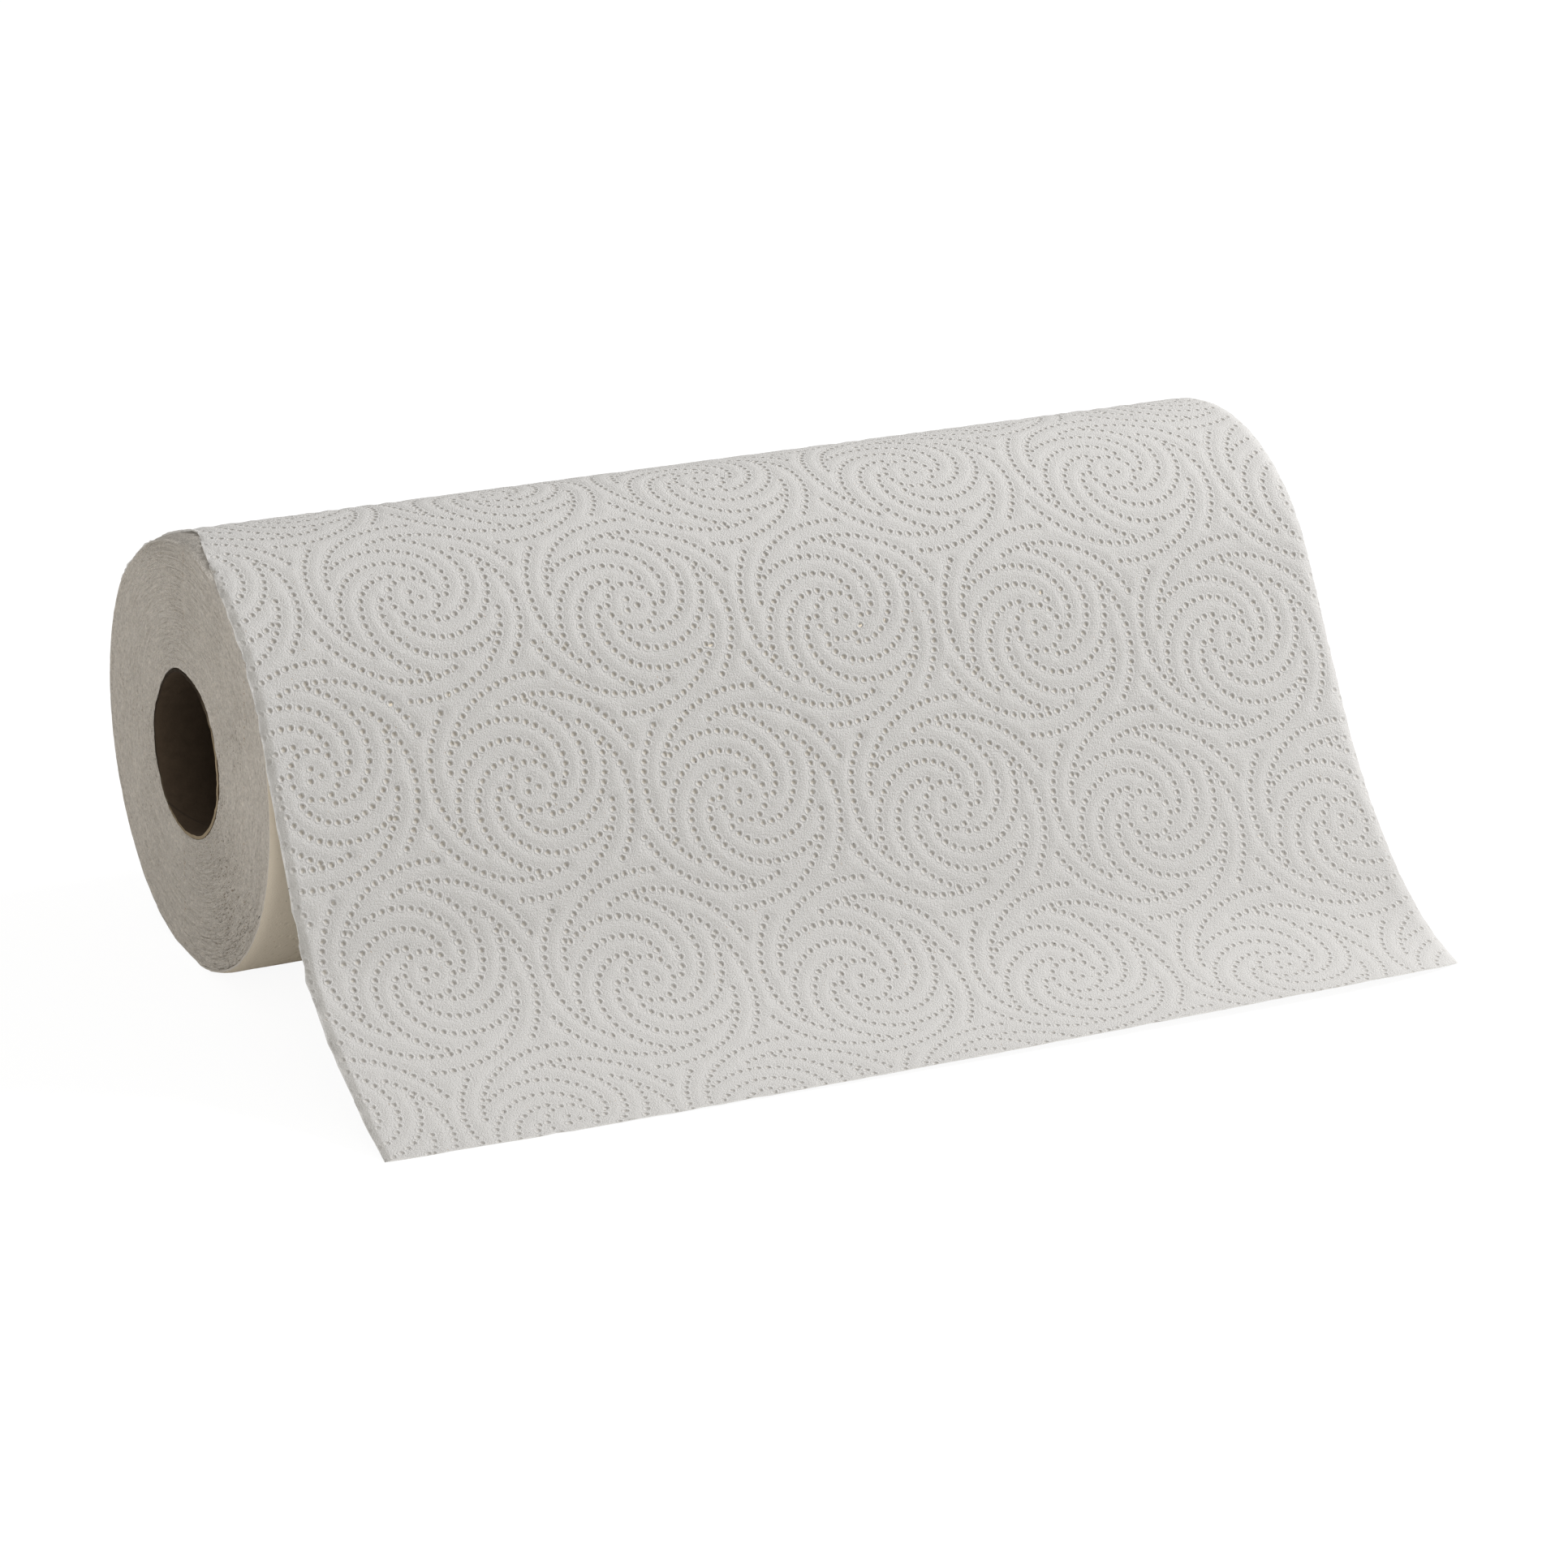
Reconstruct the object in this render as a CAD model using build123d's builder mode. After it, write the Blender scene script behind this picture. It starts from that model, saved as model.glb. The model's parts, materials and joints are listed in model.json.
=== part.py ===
"""Paper towel roll lying on its side, with its loose tail hanging off the front onto the floor.

Two pieces: the cardboard core tube, and the paper web wound on it. The web is one continuous
sheet, so its turns and its tail are one solid. Millimetres; the origin is the middle of the
bore, +X runs along the roll, -Y is the front where the tail hangs, and +Z is up.
"""
import os
from math import cos, radians, sin, sqrt

from build123d import *

# Driving dimensions: the roll
roll_length = 279.4
roll_diameter = 105.0
sheet_thickness = 0.5
floor_press = 0.5

# The core tube and the gap that its glue line leaves under the first turn
core_bore_diameter = 39.4
core_wall = 0.8
core_gap = 0.1

# The turns, drawn as one spiral groove on each end face
turn_pitch = 2.6
groove_width = 0.9
groove_depth = 0.6
rim_land = 1.5

# The tail: the angle from the top where it leaves the roll, and how far its cling reaches past that
leave_angle = 59.0
cling_gap = 0.3

# The tail at its left and right edges: slopes below level, and the radii of its two bends
left_knee_slope = 34.0
left_knee_radius = 22.0
left_flare_radius = 190.0
left_end_slope = 21.0
right_knee_slope = 38.0
right_knee_radius = 112.0
right_flare_radius = 116.0
right_end_slope = 22.0

# Worked out from the driving dimensions
outer_radius = roll_diameter / 2
inner_turn_radius = outer_radius - sheet_thickness
core_radius = core_bore_diameter / 2 + core_wall
winding_bore_radius = core_radius + core_gap
floor_height = -(inner_turn_radius - floor_press)
flat_back = sqrt(outer_radius**2 - floor_height**2)
flat_front = -sqrt(inner_turn_radius**2 - floor_height**2)
first_turn_radius = winding_bore_radius + turn_pitch
half_turns = int((inner_turn_radius - rim_land - first_turn_radius) / (turn_pitch / 2))
groove_bottom = (groove_depth, 0)
groove_far = (-groove_depth, groove_width)
groove_near = (-groove_depth, -groove_width)
left_end = -roll_length / 2
right_end = roll_length / 2

# Unit vectors at the line where the tail leaves: out of the roll, and down along the hanging sheet
leave_out = Vector(-sin(radians(leave_angle)), cos(radians(leave_angle)))
leave_down = Vector(-cos(radians(leave_angle)), -sin(radians(leave_angle)))

# A flat sheet stands off a round turn by the gap s at an angle whose cosine is r / (r + s)
cling_length = sqrt((inner_turn_radius + cling_gap) ** 2 - inner_turn_radius**2)
cling_end_inner = leave_out * inner_turn_radius + leave_down * cling_length
cling_end_outer = leave_out * outer_radius + leave_down * cling_length
cling_foot = cling_end_inner.normalized() * inner_turn_radius

os.makedirs("parts", exist_ok=True)


def tail_section(end_x, knee_slope, knee_radius, flare_radius, end_slope):
    """The hanging sheet at one edge: straight off the roll, a knee, then a flare down to the floor."""
    bend_drop = knee_radius * (cos(radians(knee_slope)) - cos(radians(leave_angle)))
    bend_drop += flare_radius * (cos(radians(end_slope)) - cos(radians(knee_slope)))
    straight_length = (cling_end_inner.Y - floor_height - bend_drop) / sin(radians(leave_angle))
    with BuildSketch(Plane.YZ.offset(end_x)) as section:
        with BuildLine():
            straight = Line(cling_end_inner, cling_end_inner + leave_down * straight_length)
            knee = JernArc(straight @ 1, straight % 1, knee_radius, knee_slope - leave_angle)
            JernArc(knee @ 1, knee % 1, flare_radius, end_slope - knee_slope)
            offset(amount=sheet_thickness, side=Side.RIGHT)
        make_face()
    return section.sketch


# Core tube
with BuildPart() as core_tube:
    with BuildSketch(Plane.YZ.offset(left_end)):
        Circle(core_radius)
        Circle(core_bore_diameter / 2, mode=Mode.SUBTRACT)
    extrude(amount=roll_length)

core_tube.part.label = "core_tube"
export_step(core_tube.part, "parts/core_tube.step")

# The groove between turns: half turns whose centres change over, so that each runs into the next
with BuildPart() as turns:
    for half in range(half_turns):
        upper = half % 2 == 0
        half_radius = first_turn_radius + half * turn_pitch / 2
        half_centre = 0 if upper else turn_pitch / 2
        half_start = half_centre + half_radius if upper else half_centre - half_radius
        with BuildSketch(Plane.XY):
            with Locations((left_end, half_start)):
                Polygon(groove_bottom, groove_far, groove_near, align=None)
        revolve(axis=Axis((0, half_centre, 0), (1, 0, 0)), revolution_arc=180)

# Paper web: the wound turns, up to the line where the tail comes free, and the tail lofted on from there
with BuildPart() as paper_roll:
    with BuildSketch(Plane.YZ.offset(left_end)):
        with BuildLine():
            lip = Line(cling_end_outer, leave_out * outer_radius)
            over_top = ThreePointArc(lip @ 1, (outer_radius, 0), (flat_back, floor_height))
            flat_spot = Line(over_top @ 1, (flat_front, floor_height))
            ThreePointArc(flat_spot @ 1, (-inner_turn_radius, 0), cling_foot)
            Line(cling_foot, cling_end_inner)
            Line(cling_end_inner, cling_end_outer)
        make_face()
        Circle(winding_bore_radius, mode=Mode.SUBTRACT)
    extrude(amount=roll_length)
    left_tail = tail_section(left_end, left_knee_slope, left_knee_radius, left_flare_radius, left_end_slope)
    right_tail = tail_section(right_end, right_knee_slope, right_knee_radius, right_flare_radius, right_end_slope)
    loft([left_tail, right_tail], ruled=True)
    add(turns.part, mode=Mode.SUBTRACT)
    add(mirror(turns.part, about=Plane.YZ, mode=Mode.PRIVATE), mode=Mode.SUBTRACT)

paper_roll.part.label = "paper_roll"
export_step(paper_roll.part, "parts/paper_roll.step")
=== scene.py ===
"""Dresses the paper towel roll: two embossed sheets, the wound turns, the kraft core and a white stage.

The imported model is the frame. Every piece is a surface worked out with numpy from the roll's own sizes, in
metres, with +X along the roll, -Y to the front where the tail hangs, and +Z up.
"""
import json
from math import cos, pi, radians, sin, sqrt, tau

import bpy
import numpy as np
from mathutils import Matrix, Vector


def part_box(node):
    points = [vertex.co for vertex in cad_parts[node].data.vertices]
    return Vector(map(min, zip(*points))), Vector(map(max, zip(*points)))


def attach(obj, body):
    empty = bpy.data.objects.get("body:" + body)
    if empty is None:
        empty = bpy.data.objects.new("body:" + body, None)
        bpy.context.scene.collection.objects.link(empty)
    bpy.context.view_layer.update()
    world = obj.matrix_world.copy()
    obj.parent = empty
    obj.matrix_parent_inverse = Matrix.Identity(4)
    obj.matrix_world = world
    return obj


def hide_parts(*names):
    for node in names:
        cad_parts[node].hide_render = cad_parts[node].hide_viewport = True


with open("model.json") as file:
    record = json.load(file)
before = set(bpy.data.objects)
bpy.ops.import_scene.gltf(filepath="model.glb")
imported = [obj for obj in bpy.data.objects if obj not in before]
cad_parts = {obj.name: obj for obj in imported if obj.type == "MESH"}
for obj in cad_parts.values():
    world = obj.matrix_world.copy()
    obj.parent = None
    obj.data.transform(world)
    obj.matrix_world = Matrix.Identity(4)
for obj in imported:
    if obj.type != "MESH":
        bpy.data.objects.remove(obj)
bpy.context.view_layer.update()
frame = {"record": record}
roll_low, roll_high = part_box("paper_roll")
_, core_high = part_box("core_tube")
bore_mount = next(mount for mount in frame["record"]["mounts"] if mount["name"] == "core_bore")

bl_info = {
    "name": "Paper Towel Roll",
    "version": (1, 0, 0),
    "blender": (4, 5, 0),
    "location": "View3D > Sidebar > Towel Roll",
    "description": "Builds an embossed paper towel roll with its tail hanging to the floor",
    "category": "Add Mesh",
}

MILLIMETRE = 0.001

# The photograph's frame, in pixels, which the camera's focal length is given in
FRAME_PIXELS = 1932
SENSOR_WIDTH = 36.0

# Where the turns lie loosest on an end face, as an angle from the back towards the top
LOOSE_ANGLE = radians(-132)

# The hanging tail's sections, and how far each is worked out past its free end
TAIL_SIDES = ("left", "middle", "right", "brim")
PATH_SPARE = 0.03


def number_setting(label, text, default):
    """A plain number that a user can change."""
    return bpy.props.FloatProperty(name=label, description=text, default=default)


def length_setting(label, text, default):
    """A size in metres that a user can change."""
    return bpy.props.FloatProperty(name=label, description=text, default=default, unit="LENGTH")


def angle_setting(label, text, default):
    """An angle that a user can change."""
    return bpy.props.FloatProperty(name=label, description=text, default=default, subtype="ANGLE")


def colour_setting(label, text, default):
    """A colour that a user can change."""
    return bpy.props.FloatVectorProperty(name=label, description=text, default=default, subtype="COLOR")


def place_setting(label, text, default):
    """A place that a user can change."""
    return bpy.props.FloatVectorProperty(
        name=label, description=text, default=default, subtype="TRANSLATION", unit="LENGTH")


def slopes_setting(side, *degrees):
    """Three slopes of one section of the tail."""
    return bpy.props.FloatVectorProperty(
        name=side + " Slopes", description="Slopes where it leaves the roll, after the knee and at the end",
        default=[radians(slope) for slope in degrees], subtype="EULER")


def bends_setting(side, *lengths):
    """Four lengths of one section of the tail."""
    return bpy.props.FloatVectorProperty(
        name=side + " Bends", size=4, default=lengths, unit="LENGTH",
        description="Radii of the knee and the flare, run at the end and height of the end")


class RollSizes(bpy.types.PropertyGroup):
    """Sizes of the wound roll and its core, most of them from the frame."""

    half_length: length_setting("Half Length", "Half of the roll's width", roll_high[0])
    radius: length_setting("Radius", "Radius over the outermost turn", roll_high[2])
    floor: length_setting("Floor", "Height of the surface the roll lies on", roll_low[2])
    core_radius: length_setting("Core Radius", "Radius over the kraft tube", core_high[2])
    bore_radius: length_setting(
        "Bore Radius", "Radius inside the kraft tube", bore_mount["dims"]["r_mm"] * MILLIMETRE)
    thickness: length_setting("Sheet Thickness", "Thickness of one embossed sheet", 0.0005)
    sheet_length: length_setting("Sheet Length", "Length of web from one perforation to the next", 0.2235)
    turn_count: bpy.props.IntProperty(
        name="Turns", description="Turns of paper that show on an end face", default=78, min=2)
    rim_drop: length_setting("Rim Drop", "How far the soft rim falls in towards the axis", 0.0006)
    rim_width: length_setting("Rim Width", "How far in from the end the rim starts to fall", 0.003)
    askew: length_setting(
        "Askew", "How far the first sheet's left edge lies in at the top of the roll", 0.0066)


class TailSizes(bpy.types.PropertyGroup):
    """The hanging tail's section at its left edge, its middle, its right part and its right brim.

    Slopes are below level: where it leaves the roll, after its knee and at its free end. Bends are the
    radius of the knee, the radius of the flare after it, the straight run at the end, and the height of the
    end over the floor.
    """

    left_slopes: slopes_setting("Left", 61.5, 36, 21)
    left_bends: bends_setting("Left", 0.013, 0.186, 0.0, 0.0)
    middle_slopes: slopes_setting("Middle", 59, 53, 10)
    middle_bends: bends_setting("Middle", 0.250, 0.052, 0.0118, 0.0011)
    right_slopes: slopes_setting("Right", 56.5, 46, 6)
    right_bends: bends_setting("Right", 0.280, 0.032, 0.012, 0.0025)
    brim_slopes: slopes_setting("Brim", 57, 41, 15)
    brim_bends: bends_setting("Brim", 0.165, 0.066, 0.0, 0.0)
    brim_reach: length_setting("Brim Reach", "How far in from the right edge the brim gives way", 0.012)


class EmbossSizes(bpy.types.PropertyGroup):
    """The emboss: dotted whorls on a hexagonal lattice, in millimetres of flat sheet."""

    pitch: number_setting("Whorl Pitch", "Millimetres between the middles of two whorls", 52.3)
    turn: angle_setting("Lattice Turn", "Slant of the rows of whorls across the web", radians(-11.4))
    middle_across: number_setting(
        "Middle Across", "Millimetres from the roll's middle to one whorl, along the roll", 9.0)
    middle_along: number_setting(
        "Middle Along", "Millimetres up the web from its free end to that whorl", 118.9)
    stretch: bpy.props.FloatVectorProperty(
        name="Stretch", description="Stretch of the emboss across and along the web",
        size=2, default=(1.007, 0.99))
    lean: number_setting("Lean", "How far the emboss leans to the left up the web, per length", 0.020)
    slant: number_setting("Slant", "How far its rows fall to the right besides the turn, per length", 0.0145)
    gather_length: number_setting(
        "Gather Length", "Millimetres of the free end over which the paper is gathered", 35.0)
    gather: number_setting("Gather", "Millimetres of paper taken up there", 5.0)
    spacing: number_setting("Dot Spacing", "Millimetres between dots along an arm", 2.35)
    dot_radius: number_setting("Dot Radius", "Radius of one pressed dot in millimetres", 0.92)
    dot_depth: length_setting("Dot Depth", "Depth of a dot in the finish", 0.00072)
    lip_height: length_setting("Lip Height", "Height of the lip that a dot throws up, in the finish", 0.00042)
    dimple_depth: length_setting("Dimple Depth", "Depth of the soft dimple round a dot, in the mesh", 0.00024)
    trough_depth: length_setting(
        "Trough Depth", "Depth that a whole row of dots draws the paper down", 0.00040)


class FinishColours(bpy.types.PropertyGroup):
    """Base colours of the paper and the board, and shares of the paper's colour where shade or light is
    painted
    on it: painted shade on the flattened strip and on each dot, painted light where the tail hangs before the
    sheet.
    """

    paper: colour_setting("Paper", "Outer face of the sheet", (0.68, 0.671, 0.659))
    paper_back: colour_setting("Paper Back", "Inner face of the sheet", (0.68, 0.66, 0.625))
    wound_edge: colour_setting("Wound Edge", "Cut edges of the turns", (0.69, 0.65, 0.595))
    cut_edge: colour_setting("Cut Edge", "Fuzzy cut edge of the sheet", (0.94, 0.93, 0.91))
    # Strip: painted shade on the strip that the knife flattened at the left edge, as a share of the paper's
    # colour
    strip: colour_setting("Strip", "Share left on the strip that the knife flattened", (0.82, 0.815, 0.80))
    # Pit: painted shade, the darkening of a dot at its middle where shade falls in the pit
    pit_shade: colour_setting("Pit", "Share left at the bottom of a dot", (0.70, 0.665, 0.61))
    # Covered: painted light, a warm brightening of the second sheet where the tail hangs before it
    covered: colour_setting("Covered", "Share where the tail hangs before the sheet", (1.37, 1.25, 1.05))
    kraft: colour_setting("Kraft", "Board of the core", (0.034, 0.0245, 0.0165))
    kraft_rim: colour_setting("Kraft Rim", "Torn end of the core", (0.115, 0.092, 0.062))


class StageSettings(bpy.types.PropertyGroup):
    """The camera, the three lamps, the sky and the floor."""

    camera_place: place_setting("Camera", "Where the camera stands", (-0.56081, -1.10130, 0.48979))
    camera_yaw: angle_setting("Yaw", "Turn of the view from +Y towards +X", 0.48443)
    camera_pitch: angle_setting("Pitch", "How far the view looks down", 0.39718)
    camera_roll: angle_setting("Roll", "Lean of the camera about its view", 0.04019)
    focal_pixels: number_setting("Focal Length", "Focal length in pixels of the frame", 6676.4)
    key_place: place_setting("Key Lamp", "Where the strong soft lamp stands", (1.43, -0.10, 1.02))
    key_power: number_setting("Key Power", "Power of the soft lamp in watts", 27.0)
    key_size: length_setting("Key Size", "Side of the soft lamp", 0.5)
    fill_place: place_setting("Fill Lamp", "Where the weak lamp at the left stands", (-1.1, -0.55, 0.2))
    fill_power: number_setting("Fill Power", "Power of the weak lamp in watts", 1.0)
    fill_size: length_setting("Fill Size", "Side of the weak lamp", 0.4)
    fill_colour: colour_setting("Fill Colour", "Colour of the weak lamp", (1.0, 0.93, 0.82))
    front_place: place_setting("Front Lamp", "Where the broad lamp before the roll stands", (-0.2, -1.5, 0.5))
    front_power: number_setting("Front Power", "Power of the broad lamp in watts", 1.8)
    front_size: length_setting("Front Size", "Side of the broad lamp", 1.0)
    sky_colour: colour_setting("Sky", "Colour of the light from all round", (1.0, 0.98, 0.95))
    sky_strength: number_setting("Sky Strength", "Level of that light", 0.465)
    floor_colour: colour_setting("Floor", "Colour of the floor", (0.85, 0.85, 0.85))


# One formula, two uses: numbers that are arrays of a mesh, or wires of a shader


class Wire:
    """A number that runs through a shader. Its operators add Math nodes to the node tree."""

    def __init__(self, tree, socket):
        self.tree = tree
        self.socket = socket

    def math(self, operation, *others):
        """A new Math node that takes this wire and the others, which are wires or plain numbers."""
        node = self.tree.nodes.new("ShaderNodeMath")
        node.operation = operation
        node.hide = True
        for socket, value in zip(node.inputs, (self,) + others):
            if isinstance(value, Wire):
                self.tree.links.new(value.socket, socket)
            else:
                socket.default_value = value
        return Wire(self.tree, node.outputs[0])

    def __add__(self, other):
        return self.math("ADD", other)

    def __sub__(self, other):
        return self.math("SUBTRACT", other)

    def __mul__(self, other):
        return self.math("MULTIPLY", other)

    def __truediv__(self, other):
        return self.math("DIVIDE", other)

    def __rsub__(self, other):
        return (self * -1.0).math("ADD", other)

    __radd__ = __add__
    __rmul__ = __mul__


def wrap(value, low, high):
    """The value folded into the span from low to high."""
    if isinstance(value, Wire):
        return value.math("WRAP", high, low)
    return (value - low) % (high - low) + low


def root(value):
    """Square root."""
    return value.math("SQRT") if isinstance(value, Wire) else np.sqrt(value)


def turn_of(up, right):
    """Angle of a direction, from the right towards up."""
    return up.math("ARCTAN2", right) if isinstance(up, Wire) else np.arctan2(up, right)


def natural_log(value):
    """Logarithm to the base e."""
    return value.math("LOGARITHM", np.e) if isinstance(value, Wire) else np.log(value)


def whole(value):
    """Largest whole number not above the value."""
    return value.math("FLOOR") if isinstance(value, Wire) else np.floor(value)


def larger(value, other):
    """The larger of the two."""
    return value.math("MAXIMUM", other) if isinstance(value, Wire) else np.maximum(value, other)


def held(value):
    """The value held between 0 and 1."""
    return larger(1.0 - larger(1.0 - value, 0.0), 0.0)


def below(value, limit):
    """1 where the value is below the limit, 0 elsewhere."""
    return value.math("LESS_THAN", limit) if isinstance(value, Wire) else (value < limit) * 1.0


def choose(pick, first, second):
    """The first where pick is 1, the second where it is 0."""
    return second + pick * (first - second)


# The emboss: its counts of dots, its phases, and its radii, reaches and the stray of a dot in millimetres

ARMS = 6
RING_DOTS = 14
RING_RADIUS = 5.8
RING_PHASE = radians(5.4)
TRIAD_DOTS = 3
TRIAD_RADIUS = 1.65
TRIAD_REACH = 3.7
INNER_TWIST = radians(11.8)
INNER_PHASE = radians(9.0)
INNER_PHASE_RADIUS = 13.0
INNER_SPAN = (7.6, 20.1)
OUTER_TWIST = radians(-12.3)
OUTER_PHASE = radians(63.5)
OUTER_PHASE_RADIUS = 19.0
OUTER_SPAN = (19.6, 27.2)

DOT_STRAY = 0.55
DIMPLE_REACH = 1.4
TROUGH_REACH = 3.0

# Where a dot's raised lip ends, in radii of the dot
LIP_REACH = 1.27


def nearness(gap_squared, reach):
    """1 in the middle of a dot, falling with the square of the gap to 0 at its reach."""
    return larger(1.0 - gap_squared * (1.0 / reach**2), 0.0)


def arm_travel(radius, twist):
    """Distance along an arm whose angle grows by twist for each millimetre of radius, from the middle to a
    radius.
    """
    lean = radius * twist
    stretch = root(lean * lean + 1.0)
    return (lean * stretch + natural_log(lean + stretch)) * (0.5 / twist)


def dotted_arms(radius, angle, twist, phase, phase_radius, span, spacing, reach):
    """Six spiral arms of dots, as nearness from 0 to 1.

    Beside an arm, the arc to it is split into a part across the arm and a part along it. The part along it
    is added to the distance travelled on the arm, which is counted off in dots, and only whole dots within
    the span count.
    """
    lean = radius * twist
    stretch = root(lean * lean + 1.0)
    swing = wrap(angle - radius * twist - (phase - phase_radius * twist), -pi / ARMS, pi / ARMS) * radius
    across = swing / stretch
    travel = arm_travel(radius, twist) + across * lean
    number = whole(travel * (1.0 / spacing))
    along = travel - (number + 0.5) * spacing
    first = np.floor(arm_travel(span[0], twist) / spacing)
    last = np.floor(arm_travel(span[1], twist) / spacing)
    counted = below(number, last + 0.5) * (1.0 - below(number, first - 0.5))
    return nearness(across * across + along * along, reach) * counted


def emboss(across, along, sizes, reach):
    """Nearness to a dot from 0 to 1, at a place across the roll and along the web in millimetres of flat
    sheet.

    The place is turned into the lattice and folded to the nearest whorl. About its middle lie three dots, a
    ring of dots, six arms that run out one way and six that run on from between them the other way.
    """
    near_end = larger(1.0 - along * (1.0 / sizes.gather_length), 0.0)
    rise = along - near_end * near_end * sizes.gather - sizes.middle_along
    aside = across - sizes.middle_across
    right = (aside + rise * sizes.lean) * (1.0 / sizes.stretch[0])
    up = (rise + aside * sizes.slant) * (1.0 / sizes.stretch[1])
    slant_right = right * cos(sizes.turn) + up * sin(sizes.turn)
    slant_up = up * cos(sizes.turn) - right * sin(sizes.turn)
    half_pitch = sizes.pitch / 2
    row_height = sizes.pitch * sqrt(3) / 2
    even_right = wrap(slant_right, -half_pitch, half_pitch)
    even_up = wrap(slant_up, -row_height, row_height)
    odd_right = wrap(slant_right + half_pitch, -half_pitch, half_pitch)
    odd_up = wrap(slant_up + row_height, -row_height, row_height)
    even_square = even_right * even_right + even_up * even_up
    odd_square = odd_right * odd_right + odd_up * odd_up
    even_nearer = below(even_square, odd_square)
    radius = root(choose(even_nearer, even_square, odd_square))
    angle = turn_of(choose(even_nearer, even_up, odd_up), choose(even_nearer, even_right, odd_right))

    in_triad = below(radius, TRIAD_REACH)
    ring_radius = choose(in_triad, TRIAD_RADIUS, RING_RADIUS)
    ring_dots = choose(in_triad, TRIAD_DOTS, RING_DOTS)
    ring_angle = angle - choose(in_triad, 0.0, RING_PHASE)
    ring_swing = wrap(ring_angle * ring_dots, -pi, pi) * ring_radius / ring_dots
    ring_gap = radius - ring_radius
    ring = nearness(ring_swing * ring_swing + ring_gap * ring_gap, reach)

    inner = dotted_arms(radius, angle, INNER_TWIST, INNER_PHASE, INNER_PHASE_RADIUS, INNER_SPAN,
                        sizes.spacing, reach)
    outer = dotted_arms(radius, angle, OUTER_TWIST, OUTER_PHASE, OUTER_PHASE_RADIUS, OUTER_SPAN,
                        sizes.spacing, reach)
    return larger(larger(inner, outer), ring)


# Shader groups and materials

WHITE = (1.0, 1.0, 1.0)

# Height of the felted fibres, in metres
FIBRE_HEIGHT = 0.00031

# Specks in the paper: cells per metre, stretch, turn, size in cells, share of cells with one, and colour
SPECKS = (
    (60.0, (1.0, 0.7, 1.0), 0.0, 0.014, 0.45, (0.10, 0.08, 0.06)),
    (75.0, (1.0, 0.30, 1.0), radians(-50), 0.020, 0.45, (0.40, 0.26, 0.14)),
    (110.0, (0.25, 1.0, 1.0), radians(20), 0.026, 0.40, (0.45, 0.38, 0.29)),
)

# The strip that the knife flattened, with painted shade on it, in metres: the pale line at the cut, which is
# left unshaded, its least width and its spread
CUT_LINE = 0.0003
STRIP_WIDTH = 0.0018
STRIP_SPREAD = 0.0016

# How far the painted light on the second sheet, a warm glow where the tail hangs before it, takes to fade
# in, in metres
GLOW_FADE_IN = 0.03

# The end faces, in metres: half the width of the loose wedge, height of the strokes and depth of the gaps;
# then the colour of the painted shade in the gaps
WEDGE_REACH = 0.020
STROKE_HEIGHT = 0.00042
GAP_DEPTH = 0.0005
GAP_SHADE = (0.25, 0.175, 0.10)

# The core's board, in metres: pitch of its strip, how far in its painted shade deepens (lighter near each
# end, darker deeper in), relief of its pulp and its seam
BOARD_PITCH = 0.076
BORE_SHADE_REACH = 0.014
PULP_HEIGHT = 0.00018
SEAM_DEPTH = 0.0002
SEAM_COLOUR = (0.05, 0.04, 0.03)


def new_group(name, inputs, outputs):
    """A shader node group with named sockets, and its input and output nodes."""
    tree = bpy.data.node_groups.new(name, "ShaderNodeTree")
    for label, kind in inputs:
        tree.interface.new_socket(label, in_out="INPUT", socket_type=kind)
    for label, kind in outputs:
        tree.interface.new_socket(label, in_out="OUTPUT", socket_type=kind)
    return tree, tree.nodes.new("NodeGroupInput"), tree.nodes.new("NodeGroupOutput")


def feed(tree, source, target):
    """Links an output socket to an input socket, or sets the input to a plain value."""
    if isinstance(source, bpy.types.NodeSocket):
        tree.links.new(source, target)
    else:
        target.default_value = source


def add_node(tree, kind, settings=(), **inputs):
    """A node with its settings, and its inputs fed by name with _ for a space."""
    node = tree.nodes.new(kind)
    for key, value in dict(settings).items():
        setattr(node, key, value)
    for label, value in inputs.items():
        feed(tree, value, node.inputs[label.replace("_", " ")])
    return node


def mix_colours(tree, factor, first, second, blend="MIX"):
    """Output of a colour Mix node."""
    node = tree.nodes.new("ShaderNodeMix")
    node.data_type = "RGBA"
    node.blend_type = blend
    feed(tree, factor, node.inputs["Factor"])
    feed(tree, first, node.inputs["A"])
    feed(tree, second, node.inputs["B"])
    return next(socket for socket in node.outputs if socket.type == "RGBA")


def opaque(colour):
    """A colour with its alpha."""
    return (*colour, 1.0)


def noise(tree, vector, scale, detail=3.0, roughness=0.55):
    """The value of a Noise texture, about 0.5 on the average, as a wire."""
    node = add_node(
        tree, "ShaderNodeTexNoise", Vector=vector, Scale=scale, Detail=detail, Roughness=roughness)
    return Wire(tree, node.outputs["Fac"])


def stretched(tree, vector, scale, turn=0.0):
    """The vector turned about Z and scaled, from a Mapping node."""
    node = add_node(tree, "ShaderNodeMapping", {"vector_type": "TEXTURE"}, Vector=vector)
    node.inputs["Rotation"].default_value = (0.0, 0.0, turn)
    node.inputs["Scale"].default_value = scale
    return node.outputs["Vector"]


def parts_of(tree, vector):
    """The three parts of a vector, as wires."""
    node = add_node(tree, "ShaderNodeSeparateXYZ", Vector=vector)
    return [Wire(tree, socket) for socket in node.outputs]


def shaded(tree, colour, shade):
    """The colour times a wire."""
    grey = add_node(tree, "ShaderNodeCombineColor", Red=shade.socket, Green=shade.socket, Blue=shade.socket)
    return mix_colours(tree, 1.0, colour, grey.outputs["Color"], "MULTIPLY")


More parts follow.
